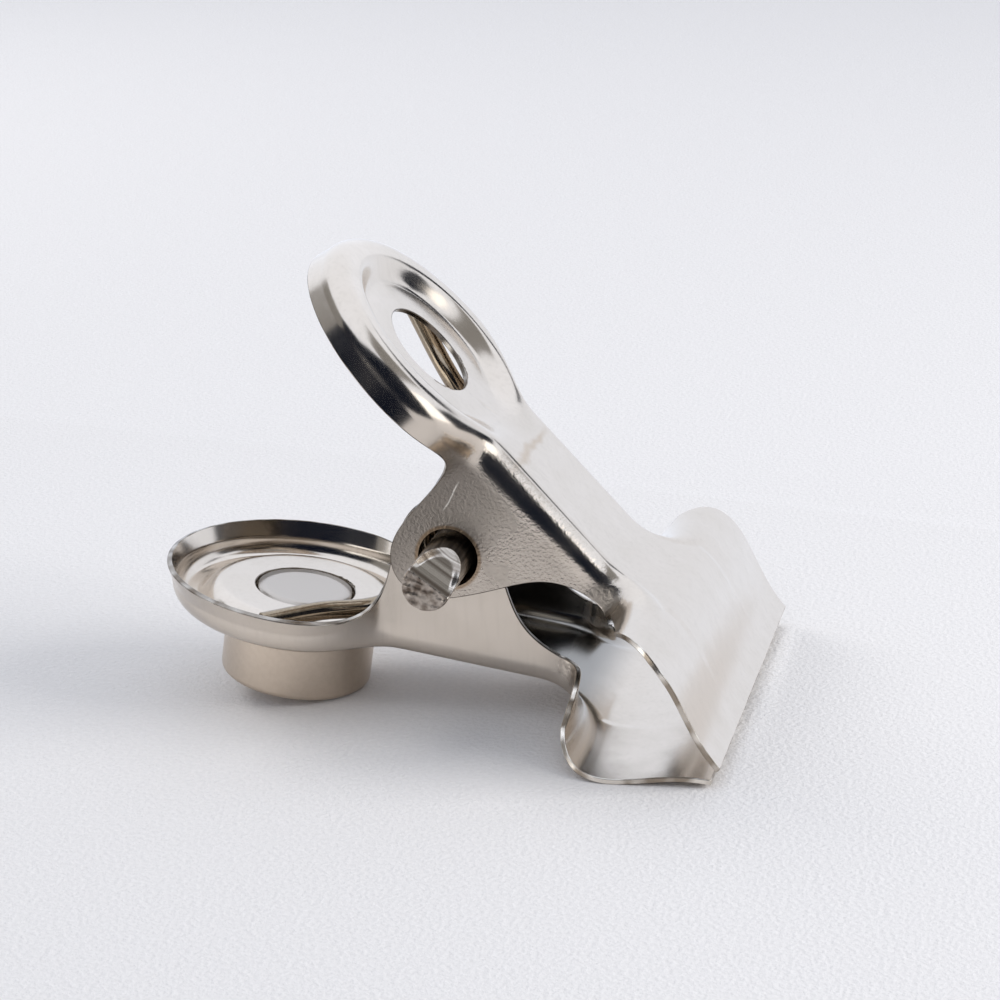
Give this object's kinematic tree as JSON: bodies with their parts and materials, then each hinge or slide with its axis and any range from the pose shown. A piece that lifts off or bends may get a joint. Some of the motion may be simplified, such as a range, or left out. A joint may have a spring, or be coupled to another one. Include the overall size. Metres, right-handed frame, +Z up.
{
  "type": "magnetic spring clip",
  "caption": "Pressed steel bulldog clip with round dished handles, wide rolled jaws, a loose pivot pin, a torsion spring and a disc magnet under the lower handle.",
  "frame": {"origin": "centre of the clip's box on the table, with the clip lying on the magnet's edge and the lower jaw", "axes": "+X towards the jaws, +Y along the pin away from its long end, +Z up from the table"},
  "size_m": [0.0407, 0.03, 0.0316],
  "materials": {
    "upper_lever": "bright nickel-plated steel sheet",
    "lower_lever": "bright nickel-plated steel sheet",
    "pivot_pin": "drawn steel wire with sheared ends",
    "torsion_spring": "bright drawn spring wire",
    "magnet": "nickel-plated sintered magnet",
    "magnet_adhesive": "cured glue"
  },
  "bodies": {
    "lower": {"lower_lever": "lower_lever", "magnet": "magnet", "magnet_adhesive": "magnet_adhesive", "torsion_spring": "torsion_spring"},
    "upper": {"upper_lever": "upper_lever"},
    "pin": {"pivot_pin": "pivot_pin"}
  },
  "joints": [
    {"name": "jaw_hinge", "type": "hinge", "parent": "lower", "child": "upper", "pos_m": [0.00102, 0, 0.01161], "axis": [0, -1, 0], "range_deg": [0, 60], "stiffness_Nm_per_rad": 0.2, "springref_deg": -40.11, "deforming": ["torsion_spring"]},
    {"name": "pin_spin", "type": "hinge", "parent": "lower", "child": "pin", "pos_m": [0.00102, 0, 0.01161], "axis": [0, 1, 0], "continuous": true}
  ]
}
